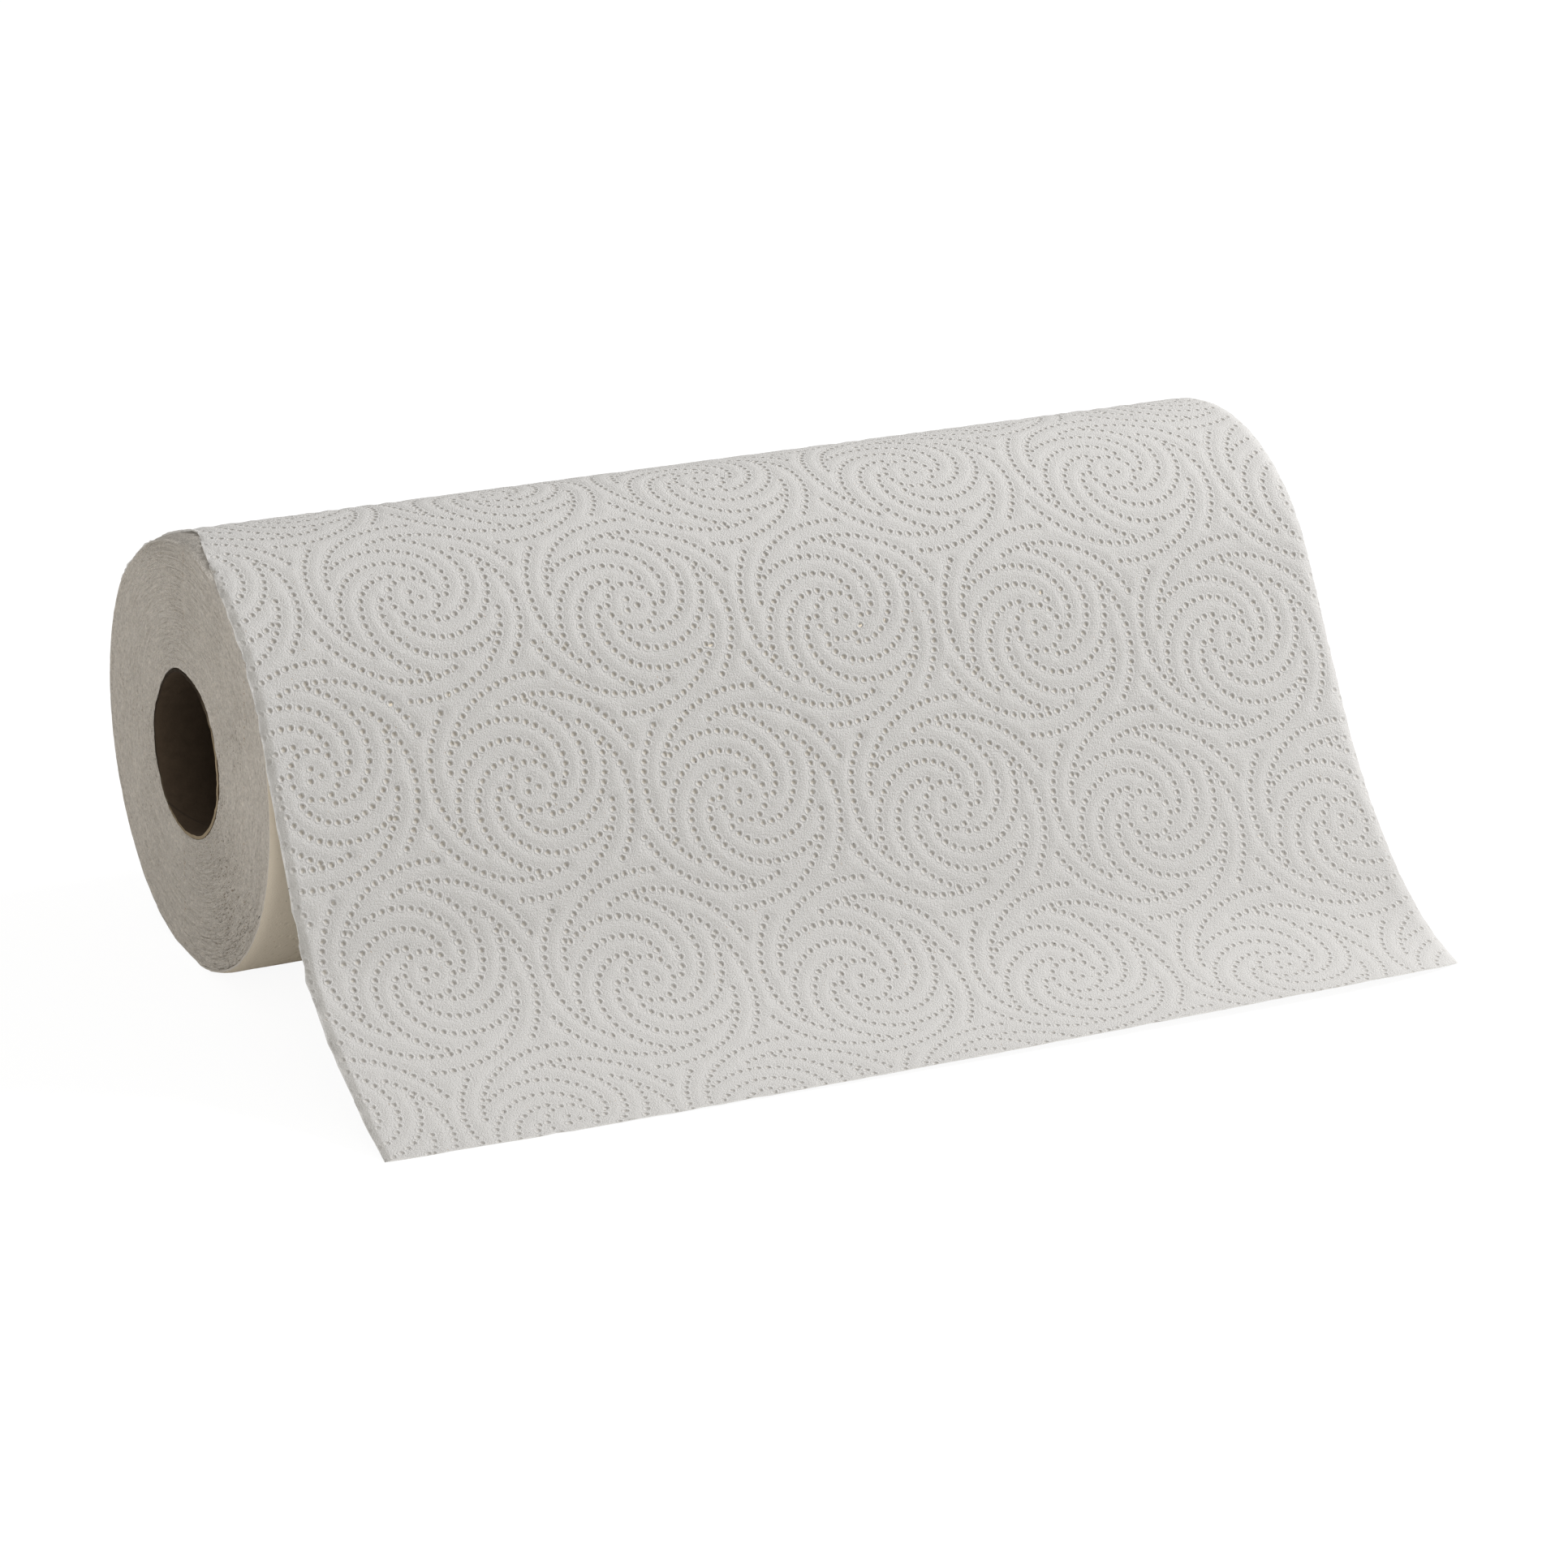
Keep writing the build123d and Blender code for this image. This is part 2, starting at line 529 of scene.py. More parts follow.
def emboss_group(emboss_sizes, roll_sizes):
    """Node group of the emboss: a place on the flat sheet in metres gives how deep a dot is pressed there,
    and how high its lip stands, both from 0 to 1.
    """
    tree, taken, given = new_group(
        "dotted_emboss", [("Place", "NodeSocketVector")],
        [("Depth", "NodeSocketFloat"), ("Lip", "NodeSocketFloat")])
    place = taken.outputs["Place"]
    from_left, from_end, _ = parts_of(tree, place)
    stray = add_node(tree, "ShaderNodeTexNoise", Vector=place, Scale=900.0, Detail=2.0)
    stray = add_node(tree, "ShaderNodeSeparateColor", Color=stray.outputs["Color"])
    across = from_left * (1 / MILLIMETRE) - roll_sizes.half_length / MILLIMETRE
    across = across + (Wire(tree, stray.outputs["Red"]) - 0.5) * DOT_STRAY
    along = from_end * (1 / MILLIMETRE) + (Wire(tree, stray.outputs["Green"]) - 0.5) * DOT_STRAY
    near = emboss(across, along, emboss_sizes, emboss_sizes.dot_radius * LIP_REACH)
    hollow = larger(1.0 - (1.0 - near) * LIP_REACH**2, 0.0)
    depth = hollow * hollow
    lip = near * (1.0 - depth)
    uneven = noise(tree, place, scale=420.0, detail=1.0) * 0.8 + 0.60
    tree.links.new((depth * uneven).socket, given.inputs["Depth"])
    tree.links.new((lip * uneven).socket, given.inputs["Lip"])
    return tree


def fibre_group():
    """Node group of the paper itself: felted fibres as a height in metres, and its colour with a few dark
    specks.

    Two noises finer than a millimetre, one drawn out into strands, make the height. Specks sit at the
    middles of Voronoi cells, and only cells whose own random colour is low enough have one.
    """
    tree, taken, given = new_group(
        "felted_paper",
        [("Place", "NodeSocketVector"), ("Paper", "NodeSocketColor"), ("Fuzz", "NodeSocketFloat")],
        [("Colour", "NodeSocketColor"), ("Height", "NodeSocketFloat")])
    place = taken.outputs["Place"]
    felt = noise(tree, place, scale=2500.0, roughness=0.6)
    strands = noise(tree, stretched(tree, place, (1.0, 0.45, 1.0), radians(38)), scale=1500.0, detail=2.0)
    cloud = noise(tree, place, scale=55.0, detail=2.0)
    height = (felt + strands) * Wire(tree, taken.outputs["Fuzz"]) * FIBRE_HEIGHT
    tree.links.new(height.socket, given.inputs["Height"])

    colour = shaded(tree, taken.outputs["Paper"], (cloud - 0.5) * 0.05 + (felt - 0.5) * 0.10 + 1.0)
    for scale, stretch, turn, size, share, tint in SPECKS:
        spots = add_node(tree, "ShaderNodeTexVoronoi", {"voronoi_dimensions": "2D"},
                         Vector=stretched(tree, place, stretch, turn), Scale=scale)
        cell = add_node(tree, "ShaderNodeSeparateColor", Color=spots.outputs["Color"])
        reach = (Wire(tree, cell.outputs["Green"]) * 0.7 + 0.3) * size
        spot = below(Wire(tree, spots.outputs["Distance"]), reach)
        spot = spot * below(Wire(tree, cell.outputs["Red"]), share) * 0.8
        colour = mix_colours(tree, spot.socket, colour, opaque(tint))
    tree.links.new(colour, given.inputs["Colour"])
    return tree


def new_material(name):
    """A material with a Principled shader of dull paper or board, its node tree and that shader."""
    material = bpy.data.materials.new(name)
    material.use_nodes = True
    material.cycles.use_bump_map_correction = False
    shader = material.node_tree.nodes["Principled BSDF"]
    shader.inputs["Roughness"].default_value = 0.95
    shader.inputs["Specular IOR Level"].default_value = 0.12
    return material, material.node_tree, shader


def placed_group(tree, group, **inputs):
    """The group as a node of the tree, with its inputs fed."""
    return add_node(tree, "ShaderNodeGroup", {"node_tree": group}, **inputs)


def add_bump(tree, shader, height):
    """Feeds a height in metres to the shader's normal."""
    bump = add_node(tree, "ShaderNodeBump", Height=height.socket, Distance=1.0, Strength=1.0)
    tree.links.new(bump.outputs["Normal"], shader.inputs["Normal"])


def strip_shade_share(tree, web):
    """1 on the strip that the knife flattened along the left edge, where shade is painted, and 0 past it and
    on the pale line at the cut, which is left unshaded.

    The strip's inner border wanders with a noise, and both borders are soft.
    """
    inset = parts_of(tree, web)[0]
    border = noise(tree, web, scale=260.0, detail=1.0) * STRIP_SPREAD + STRIP_WIDTH
    return held((border - inset) * 1500.0) * held((inset - CUT_LINE) * 5000.0)


def sheet_material(name, paper, direction, groups, scene, covered_from=None):
    """Embossed paper: dots go in on the outer face, where direction is -1, and stand out on the inner one.

    Past covered_from, a distance along the web, the sheet lies behind the tail and its colour is brightened
    warm with painted light. The outer face of a sheet with no such place has painted shade on the flattened
    strip at its left edge. Every dot has painted shade, darkest at its middle.
    """
    material, tree, shader = new_material(name)
    colours = scene.finish_colours
    web = add_node(tree, "ShaderNodeUVMap", {"uv_map": "web"}).outputs["UV"]
    press = Wire(tree, add_node(tree, "ShaderNodeAttribute", {"attribute_name": "press"}).outputs["Fac"])
    dots = placed_group(tree, groups["emboss"], Place=web)
    depth = Wire(tree, dots.outputs["Depth"]) * press
    lip = Wire(tree, dots.outputs["Lip"]) * press
    fuzz = (press * 0.6 + 0.4) * (1.0 if covered_from is None else 0.5)
    fibres = placed_group(tree, groups["fibre"], Place=web, Paper=opaque(paper), Fuzz=fuzz.socket)
    # Painted shade: each dot is darkened by the pit colour, most at its middle, as deep as it is pressed
    colour = mix_colours(tree, depth.socket, fibres.outputs["Colour"], opaque(colours.pit_shade), "MULTIPLY")
    if covered_from is not None:
        # Painted light: behind the tail the second sheet's colour is brightened warm
        along = parts_of(tree, web)[1]
        covered = larger(1.0 - larger(covered_from - along, 0.0) * (1 / GLOW_FADE_IN), 0.0)
        colour = mix_colours(tree, covered.socket, colour, opaque(colours.covered), "MULTIPLY")
    elif direction < 0:
        # Painted shade on the knife-flattened strip along the left edge
        flattened = strip_shade_share(tree, web)
        colour = mix_colours(tree, flattened.socket, colour, opaque(colours.strip), "MULTIPLY")
    tree.links.new(colour, shader.inputs["Base Color"])
    relief = depth * scene.emboss_sizes.dot_depth - lip * scene.emboss_sizes.lip_height
    add_bump(tree, shader, relief * direction + Wire(tree, fibres.outputs["Height"]))
    return material


def around_place(tree, place, turns_of_noise, radial_size):
    """A vector for noise on an end face that runs round the axis: slow along a turn, fast from turn to
    turn.
    """
    left_right, front_back, up_down = parts_of(tree, place)
    radius = root(front_back * front_back + up_down * up_down)
    vector = add_node(
        tree, "ShaderNodeCombineXYZ",
        X=(front_back / radius * turns_of_noise + left_right * 7.0).socket,
        Y=(up_down / radius * turns_of_noise).socket,
        Z=(radius * (1.0 / radial_size)).socket)
    return vector.outputs["Vector"]


def wound_material(name, paper, groups, half_length):
    """Cut edges of the turns: fine strokes that run round the axis, with painted shade in the gaps where the
    turns lie loose.

    The loose places are a wedge at the bottom front and patches of a slow noise. The side of the outermost
    turn, which shows where the sheet over it is drawn in, is darkened with painted shade to match the edges.
    """
    material, tree, shader = new_material(name)
    place = add_node(tree, "ShaderNodeTexCoord").outputs["Object"]
    left_right, front_back, up_down = parts_of(tree, place)
    strokes = noise(tree, around_place(tree, place, 34.43, 0.00030), scale=1.0, detail=2.0, roughness=0.6)
    streaks = noise(tree, around_place(tree, place, 11.37, 0.00045), scale=1.0, detail=2.0, roughness=0.5)
    patches = noise(tree, place, scale=60.0, detail=2.0, roughness=0.5)
    grain = noise(tree, place, scale=1300.0, detail=1.0, roughness=0.5)
    facing = front_back * cos(LOOSE_ANGLE) + up_down * sin(LOOSE_ANGLE)
    beside = up_down * cos(LOOSE_ANGLE) - front_back * sin(LOOSE_ANGLE)
    wedge = larger(1.0 - root(beside * beside) * (1 / WEDGE_REACH), 0.0) * below(facing * -1.0, 0.0)
    loose = larger(patches - 0.50, 0.0) * 2.0 + wedge * 1.1 + 0.05
    gaps = held(larger(strokes - 0.60, 0.0) * loose * 14.0)
    from_end = half_length - root(left_right * left_right)
    side_shade = held((from_end - 0.0004) * (1 / 0.0015))
    shade = (strokes - 0.5) * 0.50 + (streaks - 0.5) * 0.34 + (grain - 0.5) * 0.45 + 1.0
    fibres = placed_group(tree, groups["fibre"], Place=place, Paper=opaque(paper), Fuzz=0.9)
    # Painted shade darkens the side of the outermost turn
    colour = shaded(tree, fibres.outputs["Colour"], shade * (1.0 - side_shade * 0.36))
    # Painted shade: the gaps between loose turns are darkened
    colour = mix_colours(tree, (gaps * 0.7).socket, colour, opaque(GAP_SHADE))
    tree.links.new(colour, shader.inputs["Base Color"])
    add_bump(tree, shader, Wire(tree, fibres.outputs["Height"]) + strokes * STROKE_HEIGHT - gaps * GAP_DEPTH)
    return material


def kraft_material(name, board, sizes, back_top_colour=None):
    """Grey-brown recycled board with painted shade, lighter near its ends and darker deeper in, with a dark
    line where one turn of the strip meets the next.

    A rim takes on a second, darker colour towards the back and the top.
    """
    material, tree, shader = new_material(name)
    place = add_node(tree, "ShaderNodeTexCoord").outputs["Object"]
    left_right, front_back, up_down = parts_of(tree, place)
    angle = turn_of(up_down, front_back)
    seam = below(wrap(left_right * (1.0 / BOARD_PITCH) + angle * (1.0 / tau), 0.0, 1.0), 0.008)
    pulp = noise(tree, place, scale=420.0, detail=5.0, roughness=0.65)
    blotch = noise(tree, place, scale=60.0)
    from_end = sizes.half_length - root(left_right * left_right)
    # Painted shade: the board is lighter near each end and darker deeper inside the tube
    lit_near_end = (from_end * (-1 / BORE_SHADE_REACH)).math("EXPONENT")
    shade = ((pulp - 0.5) * 0.7 + (blotch - 0.5) * 0.35 + 1.0) * (lit_near_end * 2.6 + 0.70)
    colour = shaded(tree, opaque(board), shade)
    colour = mix_colours(tree, (seam * 0.55).socket, colour, opaque(SEAM_COLOUR))
    if back_top_colour is not None:
        # The rim takes the second colour towards the back and the top
        front_bottom_share = held((front_back * -0.75 - up_down * 0.65) * 60.0 + blotch - 0.25)
        colour = mix_colours(tree, front_bottom_share.socket, opaque(back_top_colour), colour)
    tree.links.new(colour, shader.inputs["Base Color"])
    add_bump(tree, shader, pulp * PULP_HEIGHT - seam * SEAM_DEPTH)
    return material


# Surfaces on grids


def soft_noise(random, rows, columns, row_size, column_size):
    """Random heights of unit spread on a grid, smooth over row_size rows and column_size columns, closed
    both ways.
    """
    spectrum = np.fft.rfft2(random.standard_normal((rows, columns)))
    row_wave = np.fft.fftfreq(rows)[:, None] * row_size
    column_wave = np.fft.rfftfreq(columns)[None, :] * column_size
    heights = np.fft.irfft2(spectrum * np.exp(-2 * pi * (row_wave**2 + column_wave**2)), s=(rows, columns))
    return heights / heights.std()


def grid_quads(rows, columns, close=False):
    """Corners of the quads of a grid of points, row by row; close joins the last row and column to the
    first.
    """
    row_steps = np.arange(rows if close else rows - 1)[:, None]
    column_steps = np.arange(columns if close else columns - 1)[None, :]
    next_row = (row_steps + 1) % rows
    next_column = (column_steps + 1) % columns
    corners = (row_steps * columns + column_steps, row_steps * columns + next_column,
               next_row * columns + next_column, next_row * columns + column_steps)
    return np.stack(corners, axis=-1).reshape(-1, 4)


def grid_normals(points):
    """Unit normals of a grid of points: the cross product of its steps along columns and rows."""
    across = np.gradient(points, axis=1)
    along = np.gradient(points, axis=0)
    normals = np.cross(across, along)
    return normals / np.linalg.norm(normals, axis=2, keepdims=True)


def add_piece(name, points, faces, materials, face_materials=None, crease=radians(40)):
    """A mesh object at the origin, smooth except across edges sharper than the crease."""
    mesh = bpy.data.meshes.new(name)
    mesh.from_pydata(points.reshape(-1, 3), [], faces)
    for material in materials:
        mesh.materials.append(material)
    if face_materials is not None:
        mesh.polygons.foreach_set("material_index", np.asarray(face_materials, dtype=np.int32))
    mesh.polygons.foreach_set("use_smooth", np.ones(len(mesh.polygons), dtype=bool))
    mesh.set_sharp_from_angle(angle=crease)
    mesh.validate()
    mesh.update()
    piece = bpy.data.objects.new(name, mesh)
    bpy.context.scene.collection.objects.link(piece)
    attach(piece, "root")
    return piece


# The web of paper

# Steps of a sheet's grid across and along, and how many of them the coarser inner face takes at once
SHEET_COLUMNS = 345
SHEET_ROWS = 272
INNER_STEPS = (5, 4)

# Half the gap that the perforation leaves, and how far along the second sheet the tail covers it, in metres
PERFORATION = 0.0001
# From there on the second sheet's outer face is brightened warm with painted light
COVERED_FROM = 0.14

# How far the inner face of a sheet keeps off the floor, in metres
INNER_LIFT = 0.00002

# Spread of a sheet's unevenness in metres: along its cut edges, in their slow drift and their height, in
# the crumples at its left edge, and along its torn ends
EDGE_WAVE = 0.00016
EDGE_DRIFT = 0.00018
EDGE_RUFFLE = 0.00016
CRUMPLE = 0.0004
END_WAVE = 0.00013

# How far in from an edge these and the drawing in reach, in millimetres
EDGE_REACH = 1.2
CRUMPLE_REACH = 3.5
DRAWN_REACH = 14.0


def tail_path(roll, tail, side):
    """One section of the hanging sheet, from the line where it leaves the roll on past its free end.

    The slope stays at the leave angle on a straight run, then falls evenly round the knee and round the
    flare, and its sine and cosine add up to the path. The straight run is as long as the drop to the free
    end needs. Returns the length to the free end, and the distances with the places across and up.
    """
    leave, knee, end = getattr(tail, side + "_slopes")
    knee_radius, flare_radius, run, lift = getattr(tail, side + "_bends")
    drop = roll.radius * cos(leave) - roll.floor - roll.thickness - lift - run * sin(end)
    drop -= knee_radius * (cos(knee) - cos(leave)) + flare_radius * (cos(end) - cos(knee))
    straight = drop / sin(leave)
    stops = np.cumsum((0.0, straight, knee_radius * (leave - knee), flare_radius * (knee - end), run))
    distance = np.linspace(0.0, stops[-1] + PATH_SPARE, 1401)
    slope = np.interp(distance, stops, (leave, leave, knee, end, end))
    step = distance[1]
    middle_slope = (slope[1:] + slope[:-1]) / 2
    front = -roll.radius * sin(leave) - np.concatenate(([0.0], np.cumsum(np.cos(middle_slope)) * step))
    height = roll.radius * cos(leave) - np.concatenate(([0.0], np.cumsum(np.sin(middle_slope)) * step))
    return stops[-1], distance, front, height


def blend_sections(roll, tail, across, values):
    """A value over the roll: a parabola through its left, middle and right values, and near the right edge
    the brim's.
    """
    left, middle, right, brim = values
    place = across / roll.half_length
    value = middle + (right - left) / 2 * place + ((right + left) / 2 - middle) * place**2
    return value + (brim - right) * np.exp((across - roll.half_length) / tail.brim_reach)


def hanging_length(roll, tail, across):
    """Length of web from the free end up to the line where it leaves the roll."""
    return blend_sections(roll, tail, across, [tail_path(roll, tail, side)[0] for side in TAIL_SIDES])


def web_section(roll, tail, side, along, free_length):
    """Outer face of the web in one section: the place front to back and the height, at distances along the
    web.

    Up to the free length it hangs. Past that it is wound, and its radius shrinks by one thickness for each
    turn.
    """
    _, distance, front, height = tail_path(roll, tail, side)
    wound = np.maximum(along - free_length, 0.0) / roll.radius
    radius = roll.radius - roll.thickness * wound / tau
    angle = getattr(tail, side + "_slopes")[0] - wound
    on_roll = along > free_length
    y = np.where(on_roll, -radius * np.sin(angle), np.interp(free_length - along, distance, front))
    z = np.where(on_roll, radius * np.cos(angle), np.interp(free_length - along, distance, height))
    return np.stack((y, z))


def web_surface(roll, tail, across, along, free_length):
    """Outer face of the web over a grid, blended from its sections."""
    sections = [web_section(roll, tail, side, along, free_length) for side in TAIL_SIDES]
    y, z = blend_sections(roll, tail, across, sections)
    return np.stack(np.broadcast_arrays(across, y, np.maximum(z, roll.floor)), axis=-1)


def rim_fall(roll, across):
    """How far the soft rim has fallen in: a parabola over the last few millimetres at each end."""
    inset = roll.half_length - np.abs(across)
    return roll.rim_drop * np.clip(1.0 - inset / roll.rim_width, 0.0, 1.0) ** 2


class SheetCut:
    """How one sheet is cut and wound, as functions of its grid, for sheet_mesh. This one is plain and
    straight.
    """

    trim = 0.0
    ragged = (1.0, 0.35)

    def __init__(self, roll):
        self.roll = roll

    def inset(self, across):
        """Distance in from the nearer end of the roll."""
        return self.roll.half_length - np.abs(across)

    def turned(self, along, free_length):
        """Angle wound on since the line where the tail leaves the roll."""
        return (along - free_length) / self.roll.radius

    def fall_share(self, across, along, free_length):
        """How much of the rim's fall it takes: all of it."""
        return np.ones_like(along)

    def drawn_in(self, along, free_length):
        """How far the left edge lies in: not at all."""
        return np.zeros_like(along)

    def crumpled(self, along, free_length):
        """How far the left edge is crumpled, from 0 to 1: not at all."""
        return np.zeros_like(along)

    def swung(self, across, along):
        """How far it has swung to the right: not at all."""
        return np.zeros_like(across)


class FirstCut(SheetCut):
    """The first sheet: its left edge is drawn in and crumpled over the top of the roll."""

    def press(self, across, along, free_length):
        """The knife flattens a narrow strip at each edge. The free end, the right side and the paper that
        is wound tight over the top of the roll have been pulled flat a little.
        """
        strip = 0.30 + 0.70 * np.clip((self.inset(across) - 0.0010) / 0.0025, 0.0, 1.0)
        tight = np.clip((self.turned(along, free_length) - 0.1) / 0.7, 0.0, 1.0)
        rightward = np.clip(across / self.roll.half_length, 0.0, 1.0)
        slack = 0.44 + 0.56 * np.clip(along / 0.085, 0.0, 1.0)
        return strip * slack * (1.0 - 0.35 * tight) * (1.0 - 0.2 * rightward)

    def fall_share(self, across, along, free_length):
        """The rim's fall follows the wound part, and eases off a little down the tail at its left."""
        hanging = np.clip((free_length - along) / 0.03, 0.0, 1.0)
        return np.where(across < 0, 1.0 - 0.2 * hanging, 1.0)

    def drawn_in(self, along, free_length):
        """How far the left edge lies in: it grows as a square over the front, and is taken back behind the
        top.
        """
        turned = self.turned(along, free_length)
        grown = np.clip((turned - 0.45) / 0.8, 0.0, 1.0) ** 2
        back = np.clip((turned - 1.3) / 0.75, 0.0, 1.0)
        return self.roll.askew * grown * (1.0 - back**2 * (3.0 - 2.0 * back))

    def crumpled(self, along, free_length):
        """How far the left edge is crumpled: a bell over the angle wound on."""
        return np.exp(-(((self.turned(along, free_length) - 0.90) / 0.28) ** 2))

    def swung(self, across, along):
        """How far the free end has swung to the right, most of all at its right corner."""
        near_end = np.clip(1.0 - along / 0.060, 0.0, 1.0) ** 2
        return near_end * (0.0016 + 0.0010 * across / self.roll.half_length)


class SecondCut(SheetCut):
    """The second sheet: drawn tight, with its edges just inside those of the turns."""

    trim = 0.0003
    ragged = (0.2, 0.2)

    def press(self, across, along, free_length):
        """The turn is pulled tight behind the tail and at its edges, so its emboss is faint there."""
        covered = np.clip((along - self.roll.sheet_length - 0.1) / 0.05, 0.0, 1.0)
        return np.clip(self.inset(across) / 0.014, 0.0, 1.0) * (0.65 - 0.45 * covered)


def sheet_face(start, end, cut, rng, scene):
    """One sheet's surface over its grid before it is embossed, its normals, its distances along the web and
    how hard the emboss presses it.

    It is the web's surface with its edges a little uneven, drawn in at the left as the cut says, swung at
    the free end and lowered at the rim. What happens at an edge fades inwards as an exponential.
    """
    roll = scene.roll_sizes
    across = np.linspace(-roll.half_length, roll.half_length, SHEET_COLUMNS + 1)[None, :]
    along = start + (end - start) * np.linspace(0.0, 1.0, SHEET_ROWS + 1)[:, None]
    lines = SHEET_ROWS + 1
    places = SHEET_COLUMNS + 1
    ragged = np.array(cut.ragged)
    edge_wave = soft_noise(rng, lines, 2, 0.9, 0.1) * EDGE_WAVE * ragged
    edge_drift = soft_noise(rng, lines, 2, 18.0, 0.1) * EDGE_DRIFT * ragged
    edge_ruffle = soft_noise(rng, lines, 2, 1.1, 0.1) * EDGE_RUFFLE * ragged
    crumple = soft_noise(rng, lines, places, 1.6, 1.6) * CRUMPLE
    end_wave = soft_noise(rng, 2, places, 0.1, 2.0) * END_WAVE

    inset = cut.inset(across) / MILLIMETRE
    at_edge = np.exp(-inset / EDGE_REACH)
    on_left = across < 0
    side = (across > 0).astype(int)[0]
    free_length = tail_path(roll, scene.tail_sizes, "middle")[0]
    wave = np.abs((edge_wave + edge_drift)[:, side]) + cut.trim
    uneven_across = across - np.sign(across) * wave * at_edge
    drawn = cut.drawn_in(along, free_length) * on_left
    uneven_across = uneven_across + drawn * np.exp(-inset / DRAWN_REACH)
    at_start = np.exp(-(along - start) / MILLIMETRE)
    at_end = np.exp(-(end - along) / MILLIMETRE)
    uneven_along = along + np.abs(end_wave[:1]) * at_start - np.abs(end_wave[1:]) * at_end

    points = web_surface(roll, scene.tail_sizes, uneven_across, uneven_along, free_length)
    points[..., 0] += cut.swung(uneven_across, uneven_along)
    normals = grid_normals(points)
    fall = rim_fall(roll, uneven_across) * cut.fall_share(across, along, free_length)
    fall = fall + edge_ruffle[:, side] * at_edge
    crumpled = cut.crumpled(along, free_length) * on_left
    fall = fall + np.abs(crumple) * crumpled * np.exp(-inset / CRUMPLE_REACH)
    points = points - normals * fall[..., None]
    pressing = cut.press(across, along, free_length) * np.ones_like(uneven_across)
    return points, normals, uneven_along, pressing


def sheet_mesh(name, start, end, cut, rng, scene, materials):
    """One sheet of the web as a closed piece: a fine outer face, a coarser inner face and a narrow edge
    between them.

    The outer face is the sheet's surface, pressed along its normals by the dimples and troughs of the
    emboss. The inner face lies one thickness further in. Neither goes under the floor.
    """
    roll = scene.roll_sizes
    sizes = scene.emboss_sizes
    points, normals, along, pressing = sheet_face(start, end, cut, rng, scene)
    flat_across = points[..., 0] / MILLIMETRE
    flat_along = along / MILLIMETRE
    dimples = emboss(flat_across, flat_along, sizes, DIMPLE_REACH) ** 2
    troughs = emboss(flat_across, flat_along, sizes, TROUGH_REACH) ** 2
    relief = dimples * sizes.dimple_depth + troughs * sizes.trough_depth
    outer = points - normals * (relief * pressing)[..., None]
    outer[..., 2] = np.maximum(outer[..., 2], roll.floor)
    step_across, step_along = INNER_STEPS
    coarse = (slice(None, None, step_along), slice(None, None, step_across))
    inner = points[coarse] - normals[coarse] * roll.thickness
    inner[..., 2] = np.maximum(inner[..., 2], roll.floor + INNER_LIFT)

    fine_index = np.arange(outer.shape[0] * outer.shape[1]).reshape(outer.shape[:2])
    coarse_index = np.arange(inner.shape[0] * inner.shape[1]).reshape(inner.shape[:2]) + fine_index.size
    outer_faces = grid_quads(*outer.shape[:2]).tolist()
    inner_faces = (grid_quads(*inner.shape[:2])[:, ::-1] + fine_index.size).tolist()
    edge_faces = edge_strip(fine_index[:, 0], coarse_index[:, 0], step_along)
    edge_faces += edge_strip(fine_index[-1], coarse_index[-1], step_across)
    edge_faces += [face[::-1] for face in edge_strip(fine_index[:, -1], coarse_index[:, -1], step_along)]
    edge_faces += [face[::-1] for face in edge_strip(fine_index[0], coarse_index[0], step_across)]
    face_materials = [0] * len(outer_faces) + [1] * len(inner_faces) + [2] * len(edge_faces)
    corners = np.concatenate((outer.reshape(-1, 3), inner.reshape(-1, 3)))
    piece = add_piece(name, corners, outer_faces + inner_faces + edge_faces, materials, face_materials)
    flat = np.stack((points[..., 0] + roll.half_length, along), axis=-1)
    flat = np.concatenate((flat.reshape(-1, 2), flat[coarse].reshape(-1, 2)))
    add_flat_map(piece.data, flat, np.concatenate((pressing.ravel(), pressing[coarse].ravel())))
    return piece


def edge_strip(fine, coarse, step):
    """Faces between a fine edge and a coarse one: each spans one coarse step and the fine steps beside it."""
    starts = np.arange(len(coarse) - 1) * step
    outer = fine[starts[:, None] + np.arange(step + 1)[None, :]]
    return np.concatenate((outer, coarse[1:, None], coarse[:-1, None]), axis=1).tolist()


def add_flat_map(mesh, flat, pressing):
    """Gives a sheet its flat place as the UV map web, in metres, and how hard it is pressed as the
    attribute press.
    """
    loop_corner = np.empty(len(mesh.loops), dtype=np.int32)
    mesh.loops.foreach_get("vertex_index", loop_corner)
    layer = mesh.uv_layers.new(name="web")
    layer.uv.foreach_set("vector", flat[loop_corner].astype(np.float32).ravel())
    attribute = mesh.attributes.new("press", "FLOAT", "POINT")
    attribute.data.foreach_set("value", pressing.astype(np.float32).ravel())


def shared_groups(scene):
    """The node groups that several materials use, built on the first call."""
    names = {"emboss": "dotted_emboss", "fibre": "felted_paper"}
    if names["emboss"] not in bpy.data.node_groups:
        emboss_group(scene.emboss_sizes, scene.roll_sizes)
        fibre_group()
    return {key: bpy.data.node_groups[name] for key, name in names.items()}


def sheet_materials(scene, label, edge, covered_from=None):
    """Finishes of one sheet: its outer face, its inner face and its edge."""
    colours = scene.finish_colours
    groups = shared_groups(scene)
    return [sheet_material(label + "_outer", colours.paper, -1.0, groups, scene, covered_from),
            sheet_material(label + "_inner", colours.paper_back, 1.0, groups, scene),
            sheet_material(label + "_edge", edge, 0.0, groups, scene)]


